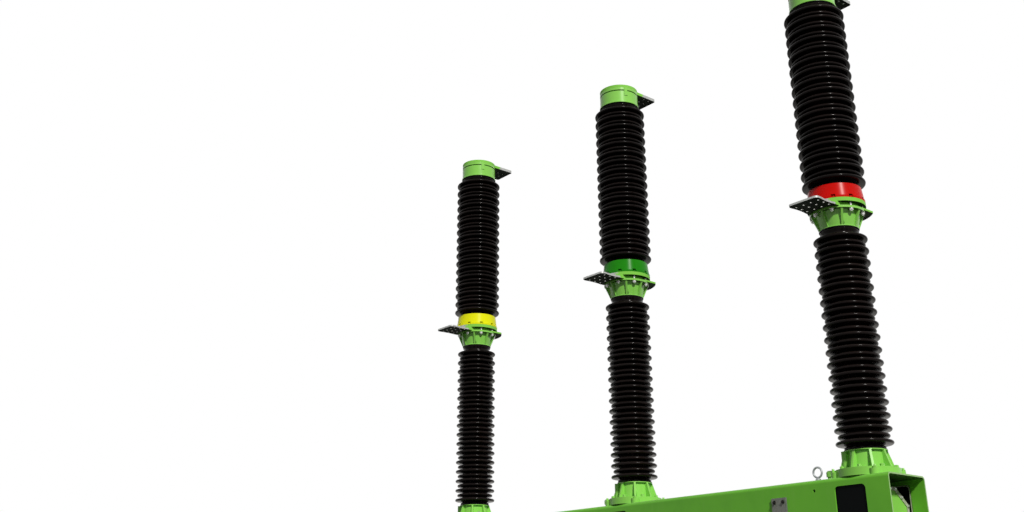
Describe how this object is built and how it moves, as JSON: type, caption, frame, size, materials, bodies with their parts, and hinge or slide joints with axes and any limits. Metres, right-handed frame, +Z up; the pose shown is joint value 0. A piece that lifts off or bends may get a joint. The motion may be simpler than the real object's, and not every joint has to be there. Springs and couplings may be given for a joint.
{
  "type": "substation circuit breaker",
  "caption": "Live-tank circuit breaker with ribbed porcelain poles in phase colours on one folded beam, carried by galvanised supports with a drive cabinet below.",
  "frame": {"origin": "on the ground under the middle pole's axis, halfway along the beam", "axes": "+Z up; +X along the beam from the yellow pole to the red pole; +Y across the beam, the way the upper terminals point"},
  "size_m": [3.944, 0.62, 5.362],
  "materials": {
    "enamel": "weathered light-green gloss paint",
    "porcelain": "dark brown glaze",
    "galvanised": "dull hot-dip galvanised",
    "rubber": "matt black",
    "phase_red": "gloss paint",
    "phase_green": "gloss paint",
    "phase_yellow": "gloss paint"
  },
  "bodies": {
    "root": {"red_base_flange": "enamel", "red_lower_insulator": "porcelain", "red_middle_flange": "enamel", "red_lower_terminal": "enamel", "red_phase_ring": "phase_red", "red_upper_insulator": "porcelain", "red_top_fitting": "enamel", "red_top_terminal": "enamel", "red_crank_housing": "enamel", "green_base_flange": "enamel", "green_lower_insulator": "porcelain", "green_middle_flange": "enamel", "green_lower_terminal": "enamel", "green_phase_ring": "phase_green", "green_upper_insulator": "porcelain", "green_top_fitting": "enamel", "green_top_terminal": "enamel", "green_crank_housing": "enamel", "yellow_base_flange": "enamel", "yellow_lower_insulator": "porcelain", "yellow_middle_flange": "enamel", "yellow_lower_terminal": "enamel", "yellow_phase_ring": "phase_yellow", "yellow_upper_insulator": "porcelain", "yellow_top_fitting": "enamel", "yellow_top_terminal": "enamel", "yellow_crank_housing": "enamel", "beam_top_plate": "enamel", "beam_front_wall": "enamel", "beam_back_wall": "enamel", "gas_couplings": "enamel", "lifting_eyes": "galvanised", "front_window_covers": "rubber", "back_window_covers": "rubber", "coupling_rods": "galvanised", "drive_rod": "galvanised", "drive_cabinet": "enamel", "cabinet_door": "enamel", "cabinet_roof": "enamel", "cabinet_hangers": "galvanised", "support_heads": "galvanised", "support_columns": "galvanised", "support_feet": "galvanised"}
  },
  "joints": []
}
